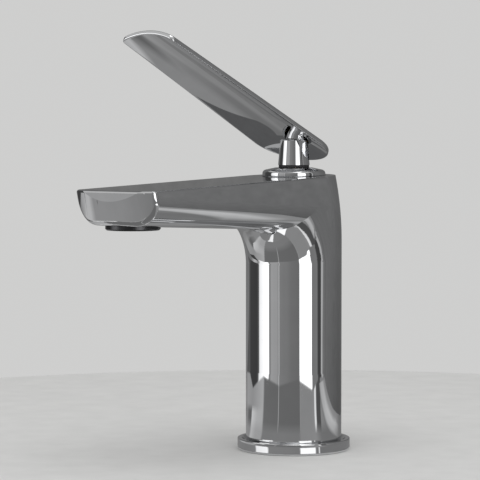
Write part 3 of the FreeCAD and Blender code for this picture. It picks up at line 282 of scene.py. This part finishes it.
# Lever: leaf of even thickness, part sphere and part cone, with a rounded rim.
# Millimetres, and LEVER_SHARP in degrees.
LEVER_PIVOT = 145.5
LEVER_OPEN = math.radians(24.0)
LEVER_LENGTH = 119.6
LEVER_HEEL_RADIUS = 19.5
LEVER_HEEL_OFFSET = 4.5
LEVER_TAPER = math.radians(2.4)
LEVER_TIP_RADIUS = 160.0
LEVER_TIP_CORNER = 2.6
LEVER_DOME = 5.3
LEVER_RIM_DROP = 1.15
LEVER_THICKNESS = 1.9
LEVER_EDGE = 0.6
LEVER_MIDDLE_END = 10.0
LEVER_SHARP = 60.0
HEEL_STEPS = 120
SIDE_STEPS = 90
TIP_CORNER_STEPS = 14
TIP_STEPS = 40
EDGE_STEPS = 5
LEAF_ROWS = 40
BOSS_RADIUS = 4.6
BOSS_BORE = 2.75
BOSS_BOTTOM = 2.0
BOSS_EDGE = 0.4
BOSS_BORE_EDGE = 0.2
BOSS_SINK = LEVER_THICKNESS / 4
BOSS_SEGMENTS = 64
# Leaf points closer than the first, in metres, become one, and edges shorter than the second go.
LEAF_SAME_POINT = 1e-7
LEAF_NO_EDGE = 1e-8


def on_pivot(points):
    """Lever points from the pivot's frame to the open position."""
    cosine, sine = math.cos(LEVER_OPEN), math.sin(LEVER_OPEN)
    return [(x, y * cosine + z * sine, LEVER_PIVOT - y * sine + z * cosine) for x, y, z in points]


def arc(centre, radius, first, last, steps):
    """Points of an arc, without its last one."""
    angles = [first + (last - first) * step / steps for step in range(steps)]
    return [(centre[0] + radius * math.cos(a), centre[1] + radius * math.sin(a)) for a in angles]


def straight(start, end, steps):
    """Points of a straight run, without its last one."""
    return [tuple(a + (b - a) * step / steps for a, b in zip(start, end)) for step in range(steps)]


def leaf_plan():
    """Plan of the lever, anticlockwise: round heel, tapering sides, bowed tip with round corners."""
    heel = (0.0, -LEVER_HEEL_OFFSET)
    tip = (0.0, LEVER_TIP_RADIUS - LEVER_LENGTH)
    inside = LEVER_HEEL_RADIUS - LEVER_TIP_CORNER
    sine, cosine = math.sin(LEVER_TAPER), math.cos(LEVER_TAPER)
    # A tip corner's centre lies on the side's inner parallel and on the tip's inner arc.
    reach = tip[1] - heel[1]
    lean = inside * sine - reach * cosine * cosine
    room = reach ** 2 - (LEVER_TIP_RADIUS - LEVER_TIP_CORNER) ** 2
    drop = -lean - math.sqrt(lean ** 2 - inside ** 2 - room * cosine ** 2)
    corner = ((inside + sine * drop) / cosine, drop + heel[1])
    left_corner = (-corner[0], corner[1])
    bow = math.atan2(corner[1] - tip[1], corner[0])
    left_bow = -math.pi - bow
    left_side = math.pi + LEVER_TAPER
    shoulder = (-LEVER_HEEL_RADIUS * cosine, heel[1] - LEVER_HEEL_RADIUS * sine)
    side_end = (left_corner[0] - LEVER_TIP_CORNER * cosine, left_corner[1] - LEVER_TIP_CORNER * sine)
    side = straight(shoulder, side_end, SIDE_STEPS)
    plan = arc(heel, LEVER_HEEL_RADIUS, -LEVER_TAPER, left_side, HEEL_STEPS)
    plan += side
    plan += arc(left_corner, LEVER_TIP_CORNER, left_side, left_bow + 2 * math.pi, TIP_CORNER_STEPS)
    plan += arc(tip, LEVER_TIP_RADIUS, left_bow, bow, TIP_STEPS)
    plan += arc(corner, LEVER_TIP_CORNER, bow, -LEVER_TAPER, TIP_CORNER_STEPS)
    plan += [(-x, y) for x, y in side[1:][::-1]]
    return plan


def leaf_height(x, y, extra):
    """Height of the leaf's underside, or of its top with the thickness as extra."""
    sphere = (LEVER_HEEL_RADIUS ** 2 + LEVER_DOME ** 2) / (2 * LEVER_DOME)
    below = sphere - LEVER_DOME
    run = LEVER_LENGTH - LEVER_HEEL_OFFSET
    tip_half = LEVER_HEEL_RADIUS / math.cos(LEVER_TAPER) - run * math.tan(LEVER_TAPER)
    fall = (sphere - math.hypot(below, tip_half)) / run
    radius = sphere + extra
    slant = 1 / math.hypot(1, fall)
    behind = y + LEVER_HEEL_OFFSET
    meet = -radius * slant * fall
    if behind < meet:
        across = radius * slant - (meet - behind) * fall
    else:
        across = math.sqrt(radius ** 2 - behind ** 2)
    return math.sqrt(across ** 2 - x * x) - LEVER_RIM_DROP - below


def leaf_rings():
    """Rings from the rim inwards (inset, drop, share of the way to the middle line)."""
    rings = []
    for step in range(EDGE_STEPS + 1):
        turn = math.pi / 2 * step / EDGE_STEPS
        rings.append((LEVER_EDGE * (1 - math.cos(turn)), LEVER_EDGE * (1 - math.sin(turn)), 0.0))
    return rings + [(LEVER_EDGE, 0.0, row / LEAF_ROWS) for row in range(1, LEAF_ROWS + 1)]


def leaf_shell():
    """Closed leaf: its top, its underside and the rim between them."""
    plan = leaf_plan()
    count = len(plan)
    inward = []
    for number in range(count):
        before, after = plan[number - 1], plan[(number + 1) % count]
        run = Vector((after[0] - before[0], after[1] - before[1])).normalized()
        inward.append((-run.y, run.x))
    rings = leaf_rings()
    first_middle, last_middle = -LEVER_HEEL_OFFSET, LEVER_MIDDLE_END - LEVER_LENGTH
    points, faces = [], []
    for hand, extra in ((-1, LEVER_THICKNESS), (1, 0.0)):
        base = len(points)
        for inset, drop, share in rings:
            for (x, y), (inward_x, inward_y) in zip(plan, inward):
                edge_x, edge_y = x + inward_x * inset, y + inward_y * inset
                middle = max(last_middle, min(first_middle, edge_y))
                px, py = edge_x * (1 - share), edge_y + (middle - edge_y) * share
                points.append((px, py, leaf_height(px, py, extra) + hand * drop))
        for ring in range(len(rings) - 1):
            outer, inner = base + ring * count, base + (ring + 1) * count
            for here in range(count):
                there = (here + 1) % count
                quad = (outer + here, outer + there, inner + there, inner + here)
                faces.append(quad if hand < 0 else quad[::-1])
    under = len(points) // 2
    for here in range(count):
        there = (here + 1) % count
        faces.append((under + here, under + there, there, here))
    return on_pivot(points), faces


def boss_shell():
    """Ring under the leaf's heel that holds the knuckle's shank."""
    crown = LEVER_DOME - LEVER_RIM_DROP + BOSS_SINK
    points, faces = turned([
        (BOSS_BORE, BOSS_BOTTOM, BOSS_BORE_EDGE),
        (BOSS_RADIUS, BOSS_BOTTOM, BOSS_EDGE),
        (BOSS_RADIUS, crown, 0.0),
        (BOSS_BORE, crown, 0.0),
    ], BOSS_SEGMENTS)
    return on_pivot(points), faces


def merge_doubles(mesh):
    """Join the points that meet on the leaf's middle line."""
    work = bmesh.new()
    work.from_mesh(mesh)
    bmesh.ops.remove_doubles(work, verts=work.verts, dist=LEAF_SAME_POINT)
    bmesh.ops.dissolve_degenerate(work, edges=work.edges, dist=LEAF_NO_EDGE)
    work.to_mesh(mesh)
    work.free()


def add_lever():
    shells = [leaf_shell(), boss_shell()]
    item = add_piece("lever_leaf", shells, "lever", "chrome", ["lever_blade"], LEVER_SHARP)
    merge_doubles(item.data)


# Turned pieces as corners of their outlines: radius, height and rounding. Millimetres.
CAP_CORNERS = [
    (10.55, 130.9, 0.0),
    (15.1, 130.9, 0.8),
    (15.1, 134.0, 1.9),
    (9.0, 135.3, 0.5),
    (6.08, 135.3, 0.0),
    (6.08, 134.7, 0.0),
    (10.55, 133.15, 0.0),
]
RING_CORNERS = [
    (23.12, 1.02, 0.0),
    (26.45, 1.02, 0.0),
    (26.45, 0.12, 0.0),
    (27.0, 0.12, 0.2),
    (27.0, 5.5, 0.4),
    (25.1, 5.5, 0.4),
    (24.3, 3.6, 0.4),
    (23.12, 2.9, 0.0),
]
WASHER_CORNERS = [
    (6.12, 135.34, 0.0),
    (7.3, 135.34, 0.05),
    (7.3, 136.58, 0.05),
    (6.12, 136.58, 0.0),
]
CAP_SEGMENTS = 128
RING_SEGMENTS = 192
WASHER_SEGMENTS = 96


def add_turned_pieces():
    add_piece("cap_turned", [turned(CAP_CORNERS, CAP_SEGMENTS)], "root", "chrome", ["cover_cap"])
    add_piece("base_ring_turned", [turned(RING_CORNERS, RING_SEGMENTS)], "root", "chrome", ["base_ring"])
    add_piece("post_washer", [turned(WASHER_CORNERS, WASHER_SEGMENTS)], "swivel", "rubber")


# Stud and nut of the clamp under the base. Millimetres, but NUT_FACE is a share of the nut's half width
# and NUT_SHARP is in degrees.
STUD_ALONG = 13.5
STUD_RADIUS = 4.0
STUD_BOTTOM, STUD_TOP = -55.0, 26.0
STUD_CORE = 0.5
STUD_CHAMFER = 1.0
STUD_SEGMENTS = 48
THREAD_PITCH = 1.25
THREAD_DEPTH = 0.62
THREAD_ROWS = 8
THREAD_SLOPE = 1.3
THREAD_CREST = 0.15
NUT_WIDTH = 13.0
NUT_BORE = 4.06
NUT_BOTTOM, NUT_TOP = -32.5, -26.0
NUT_FACE = 0.94
NUT_CHAMFER = math.radians(30.0)
NUT_CHAMFER_DEPTH = 1.0
NUT_CHAMFER_ROWS = 8
NUT_BEVEL = 0.5
NUT_SEGMENTS = 96
NUT_SHARP = 20.0


def stud_profile(turn):
    """Side of the threaded stud at one angle, with a fine core so that the shell stays closed."""
    count = round((STUD_TOP - STUD_BOTTOM) / THREAD_PITCH * THREAD_ROWS)
    side = []
    for row in range(count + 1):
        height = STUD_BOTTOM + (STUD_TOP - STUD_BOTTOM) * row / count
        phase = (height / THREAD_PITCH - turn / (2 * math.pi)) % 1.0
        depth = THREAD_DEPTH * min(1.0, max(0.0, THREAD_SLOPE * abs(2 * phase - 1) - THREAD_CREST))
        end = min(height - STUD_BOTTOM, STUD_TOP - height)
        side.append((min(STUD_RADIUS - depth, STUD_RADIUS - STUD_CHAMFER + end), height))
    return [(STUD_CORE, STUD_BOTTOM)] + side + [(STUD_CORE, STUD_TOP)]


def nut_profile(turn):
    """Side of the hexagon nut at one angle, with both ends chamfered."""
    half = NUT_WIDTH / 2
    flat = half / math.cos(turn % (math.pi / 3) - math.pi / 6)
    face = NUT_FACE * half
    rows = [NUT_CHAMFER_DEPTH * row / NUT_CHAMFER_ROWS for row in range(NUT_CHAMFER_ROWS + 1)]
    low = [(min(flat, face + row / math.tan(NUT_CHAMFER)), NUT_BOTTOM + row) for row in rows]
    high = [(r, NUT_BOTTOM + NUT_TOP - z) for r, z in reversed(low)]
    bore = [
        (NUT_BORE + NUT_BEVEL, NUT_TOP),
        (NUT_BORE, NUT_TOP - NUT_BEVEL),
        (NUT_BORE, NUT_BOTTOM + NUT_BEVEL),
        (NUT_BORE + NUT_BEVEL, NUT_BOTTOM),
    ]
    return low + high + bore


def add_clamp_pieces():
    stud = spun(stud_profile, STUD_SEGMENTS, STUD_ALONG)
    add_piece("stud_threaded", [stud], "root", "steel", ["mounting_stud"])
    nut = spun(nut_profile, NUT_SEGMENTS, STUD_ALONG)
    add_piece("nut_chamfered", [nut], "root", "brass", ["stud_nut"], NUT_SHARP)


# Stage: pale round floor and world, a lamp, softboxes, and cards that only reflections see. Metres.
FLOOR_RADIUS = 0.35
FLOOR_FACETS = 256
FLOOR_DARK = (0.66, 0.66, 0.655)
FLOOR_LIGHT = (0.70, 0.70, 0.695)
FLOOR_ROUGH = (0.7, 0.9)
FLOOR_GRAIN = 60.0
FLOOR_RELIEF = 0.00001
WORLD_COLOUR = (0.62, 0.62, 0.615, 1.0)
LAMP_PLACE = (0.3, -0.5, 1.4)
LAMP_TARGET = (0.0, 0.0, 0.1)
LAMP_WIDTH, LAMP_DEPTH = 1.2, 0.8
LAMP_WATTS = 7.0
# Unevenness of the cards: detail of the noise, then its grain, lowest and highest factor for each kind.
GLOW_DETAIL = 2.0
CARD_GLOW = (2.5, 0.69, 0.80)
BACK_GLOW = (160.0, 0.62, 0.87)
# Cards that stand round the faucet: angle to the right of the camera's side in degrees, brightness.
CARD_STEP = 4.0
SURROUND_DISTANCE = 1.25
SURROUND_HEIGHTS = [(-0.6, 1.0), (0.55, 1.0), (0.9, 1.8)]
SURROUND = [
    (-180, 0.16), (-150, 0.16), (-131, 0.16), (-128, 0.09), (-100, 0.08), (-96, 0.12), (-60, 0.30),
    (-56, 0.60), (-42, 0.56), (-37, 0.46), (-36.6, 0.90), (-35.6, 0.90), (-35.2, 0.36), (-18, 0.33),
    (-6, 0.28), (8, 0.26), (44, 0.30), (56, 0.34), (59, 0.09), (67, 0.09), (68, 0.75), (71, 0.70),
    (72, 0.30), (78, 0.17), (92, 0.15), (100, 0.21), (125, 0.21), (140, 0.16), (150, 0.13), (180, 0.14),
]
SOFTBOX_DISTANCE = 1.2
SOFTBOX_HEIGHTS = [(-0.26, 0.3), (-0.22, 1.0), (0.45, 1.0), (0.70, 0.32), (0.85, 0.22)]
SOFTBOX_LEFT = [(-93, 0.4), (-90, 1.6), (-77, 2.0), (-72, 2.5), (-64, 2.6), (-61, 0.5)]
SOFTBOX_RIGHT = [(12, 0.4), (13.5, 2.6), (41, 2.8), (43, 0.5)]
SKIRT_DISTANCE = 1.18
SKIRT_BOTTOM = -0.6
SKIRT_TOP = -0.25
SKIRT_LEFT_TOP = -0.12
SKIRT = [(-93, 0.46), (-80, 0.46), (-60, 0.44), (-40, 0.38), (0, 0.28), (45, 0.2), (80, 0.2)]
SKIRT_LEFT = [(-150, 0.24), (-125, 0.30), (-112, 0.80), (-105, 0.80), (-98, 0.46), (-93, 0.46)]
# Card on the floor round the base ring: angle, brightness.
FOOT_RADIUS = 0.0272
FOOT_RUN = (0.0005, 0.037)
FOOT_HEIGHT = 0.0009
FOOT_STEP = 3.0
CARD_FOOT = [
    (-180, 0.34), (-120, 0.34), (-88, 0.36), (-84, 1.5), (-58, 1.7), (-54, 0.36), (10, 0.34), (13, 1.9),
    (42, 1.9), (45, 0.34), (50, 0.30), (51, 1.2), (53, 1.2), (54, 0.30), (180, 0.32),
]
# Card on the floor round that: angle, brightness, for its rings from the inside outwards.
CARD_THROAT = [
    (-180, 0.40), (-120, 0.42), (-112, 0.80), (-95, 0.62), (-76, 0.60), (-72, 0.34), (10, 0.33),
    (14, 0.42), (46, 0.45), (60, 0.30), (120, 0.28), (180, 0.30),
]
CARD_MIDDLE_LEFT = [
    (-180, 0.26), (-160, 0.28), (-140, 0.38), (-132, 0.22), (-117, 0.20), (-114, 1.0), (-95, 0.75),
]
CARD_OUTSIDE_LEFT = [
    (-180, 0.30), (-165, 0.36), (-150, 0.40), (-138, 0.52), (-112, 0.50), (-95, 0.60),
]
CARD_RIGHT = [
    (-77, 0.70), (-73, 0.25), (-37, 0.24), (-36.5, 0.60), (-35.5, 0.60), (-35, 0.24), (12, 0.23),
    (13, 0.50), (14, 0.42), (40, 0.42), (46, 0.45), (47, 1.3), (50, 1.3), (52, 0.14), (62, 0.13),
    (64, 0.42), (80, 0.36), (90, 0.30), (120, 0.26), (150, 0.28), (180, 0.26),
]
CARD_MIDDLE = CARD_MIDDLE_LEFT + CARD_RIGHT
CARD_OUTSIDE = CARD_OUTSIDE_LEFT + CARD_RIGHT
CARD_RINGS = [
    (0.0278, CARD_THROAT),
    (0.09, CARD_THROAT),
    (0.13, CARD_MIDDLE),
    (0.16, CARD_MIDDLE),
    (0.19, CARD_OUTSIDE),
]
# Edge of that card: angle, radius.
CARD_EDGE = [
    (-180, 0.345), (-128, 0.345), (-113, 0.27), (-76, 0.345), (-35, 0.30), (8, 0.335), (45, 0.275),
    (60, 0.34), (180, 0.34),
]
CARD_SOFT = 0.006
CARD_END = 0.357
CARD_HEIGHT = 0.0006
# Upright card close behind the faucet: place along X, brightness at its foot and above BACK_EVEN.
BACK_PLACE = 0.135
BACK_EVEN = 0.12
BACK_TOP = 1.2
BACK = [
    (-1.0, 0.32, 0.22), (-0.08, 0.32, 0.22), (0.0, 0.15, 0.19), (0.04, 0.15, 0.21), (0.13, 0.20, 0.26),
    (0.25, 0.24, 0.28), (0.29, 0.22, 0.24), (0.37, 0.30, 0.30),
]
# Light strip on the floor before it: place along Y and brightness, and the share of that along X.
STRIP = [(0.045, 0.30), (0.06, 0.78), (0.09, 0.90), (0.112, 0.50), (0.135, 0.42)]
STRIP_SHARES = [(0.025, 0.0), (0.06, 0.8), (0.10, 1.0), (0.30, 0.8)]
STRIP_BASE = 0.30
STRIP_HEIGHT = 0.0012


def add_floor():
    turns = [2 * math.pi * facet / FLOOR_FACETS for facet in range(FLOOR_FACETS)]
    points = [(FLOOR_RADIUS * math.cos(turn), FLOOR_RADIUS * math.sin(turn), 0.0) for turn in turns]
    floor = add_mesh("floor", points, [tuple(range(FLOOR_FACETS))])
    material = solid("floor", FLOOR_DARK, FLOOR_LIGHT, FLOOR_ROUGH, FLOOR_GRAIN, FLOOR_RELIEF)
    material.node_tree.nodes["Principled BSDF"].inputs["Specular IOR Level"].default_value = 0.0
    floor.data.materials.append(material)


def glow_material(name, grain, low, high):
    """Emission whose strength is the card's own, with some unevenness."""
    material = bpy.data.materials.new(name)
    material.use_nodes = True
    tree = material.node_tree
    tree.nodes.remove(tree.nodes["Principled BSDF"])
    emission = tree.nodes.new("ShaderNodeEmission")
    strength = tree.nodes.new("ShaderNodeAttribute")
    strength.attribute_name = "glow"
    product = tree.nodes.new("ShaderNodeMath")
    product.operation = "MULTIPLY"
    tree.links.new(strength.outputs["Fac"], product.inputs[0])
    tree.links.new(spread(tree, noise(tree, grain, GLOW_DETAIL), low, high), product.inputs[1])
    tree.links.new(product.outputs["Value"], emission.inputs["Strength"])
    tree.links.new(emission.outputs["Emission"], tree.nodes["Material Output"].inputs["Surface"])
    return material


def sheet(name, columns, material, lights=False):
    """Card from columns of points with a brightness each. Only reflections see it, unless it lights."""
    rows = len(columns[0])
    faces = []
    for column in range(len(columns) - 1):
        for row in range(rows - 1):
            first = column * rows + row
            faces.append((first, first + rows, first + rows + 1, first + 1))
    item = add_mesh(name, [point for column in columns for point, _ in column], faces)
    glow = [brightness for column in columns for _, brightness in column]
    item.data.attributes.new("glow", "FLOAT", "POINT").data.foreach_set("value", glow)
    item.data.materials.append(material)
    item.visible_camera = False
    item.visible_shadow = False
    item.visible_diffuse = lights


def at(stops, place):
    """Value between the stops (place, value)."""
    for (first, low), (last, high) in zip(stops, stops[1:]):
        if place <= last:
            return low + (high - low) * (place - first) / (last - first)
    return stops[-1][1]


def steps_of(places, step=CARD_STEP):
    """The places, with more between them where they are far apart."""
    out = []
    for first, last in zip(places, places[1:]):
        parts = max(1, round((last - first) / step))
        out += [first + (last - first) * part / parts for part in range(parts)]
    return out + [places[-1]]


def facing(angle, distance):
    """Place on the floor at a distance, by the angle to the right of the camera's side."""
    turn = CAMERA_AZIMUTH - math.pi / 2 + math.radians(angle)
    return distance * math.cos(turn), distance * math.sin(turn)


def round_card(name, stops, distance, heights, material, lights=False):
    """Card that stands round the faucet: stops (angle, brightness) by heights (height, share)."""
    columns = []
    for angle in steps_of([angle for angle, _ in stops]):
        x, y = facing(angle, distance)
        brightness = at(stops, angle)
        columns.append([((x, y, height), brightness * share) for height, share in heights])
    sheet(name, columns, material, lights)


def floor_card(material):
    """Grey card on the floor; past its edge the softboxes and the surround run on."""
    boxes = [SOFTBOX_LEFT, SOFTBOX_RIGHT]
    tables = [table for _, table in CARD_RINGS] + [CARD_EDGE, SURROUND] + boxes
    angles = sorted({angle for table in tables for angle, _ in table})
    columns = []
    for angle in steps_of(angles):
        beyond = at(SURROUND, angle)
        for box in boxes:
            if box[0][0] <= angle <= box[-1][0]:
                beyond = at(box, angle)
        rings = [(radius, at(table, angle)) for radius, table in CARD_RINGS]
        edge = at(CARD_EDGE, angle)
        rings += [(edge - CARD_SOFT, rings[-1][1]), (edge + CARD_SOFT, beyond), (CARD_END, beyond)]
        columns.append([((*facing(angle, radius), CARD_HEIGHT), brightness) for radius, brightness in rings])
    sheet("floor_card", columns, material)


def foot_card(material):
    """Card round the base ring, laid out so that its strips stand upright in the ring's side."""
    columns = []
    for angle in steps_of([angle for angle, _ in CARD_FOOT], FOOT_STEP):
        x, y = facing(angle / 2, FOOT_RADIUS)
        brightness = at(CARD_FOOT, angle)
        runs = [facing(angle, run) for run in FOOT_RUN]
        columns.append([((x + run_x, y + run_y, FOOT_HEIGHT), brightness) for run_x, run_y in runs])
    sheet("foot_card", columns, material)


def back_cards(back_material, strip_material):
    """Upright card behind the faucet, and the light strip on the floor before it."""
    columns = []
    for x, low, high in BACK:
        heights = ((0.0, low), (BACK_EVEN, high), (BACK_TOP, high))
        columns.append([((x, BACK_PLACE, height), brightness) for height, brightness in heights])
    sheet("wall_card", columns, back_material)
    columns = []
    for x, share in STRIP_SHARES:
        glow = [(y, STRIP_BASE + (brightness - STRIP_BASE) * share) for y, brightness in STRIP]
        columns.append([((x, y, STRIP_HEIGHT), brightness) for y, brightness in glow])
    sheet("ledge_card", columns, strip_material)


def add_cards():
    glow = glow_material("card_glow", *CARD_GLOW)
    back_glow = glow_material("wall_glow", *BACK_GLOW)
    round_card("surround", SURROUND, SURROUND_DISTANCE, SURROUND_HEIGHTS, glow)
    for name, stops in (("softbox_left", SOFTBOX_LEFT), ("softbox_right", SOFTBOX_RIGHT)):
        round_card(name, stops, SOFTBOX_DISTANCE, SOFTBOX_HEIGHTS, glow, lights=True)
    for name, stops, top in (("skirt", SKIRT, SKIRT_TOP), ("skirt_left", SKIRT_LEFT, SKIRT_LEFT_TOP)):
        round_card(name, stops, SKIRT_DISTANCE, [(SKIRT_BOTTOM, 1.0), (top, 1.0)], glow)
    floor_card(glow)
    foot_card(glow)
    back_cards(back_glow, glow)


def add_world():
    world = bpy.data.worlds.new("world")
    scene.world = world
    world.use_nodes = True
    world.node_tree.nodes["Background"].inputs["Color"].default_value = WORLD_COLOUR


def add_lamp():
    lamp = bpy.data.lights.new("top_light", "AREA")
    lamp.shape = "RECTANGLE"
    lamp.size, lamp.size_y = LAMP_WIDTH, LAMP_DEPTH
    lamp.energy = LAMP_WATTS
    item = bpy.data.objects.new("top_light", lamp)
    scene.collection.objects.link(item)
    item.location = LAMP_PLACE
    item.rotation_euler = (Vector(LAMP_TARGET) - Vector(LAMP_PLACE)).to_track_quat("-Z", "Y").to_euler()


dress_nodes()
add_body()
add_lever()
add_turned_pieces()
add_clamp_pieces()
add_camera()
add_floor()
add_cards()
add_world()
add_lamp()
scene.view_settings.view_transform = "Standard"
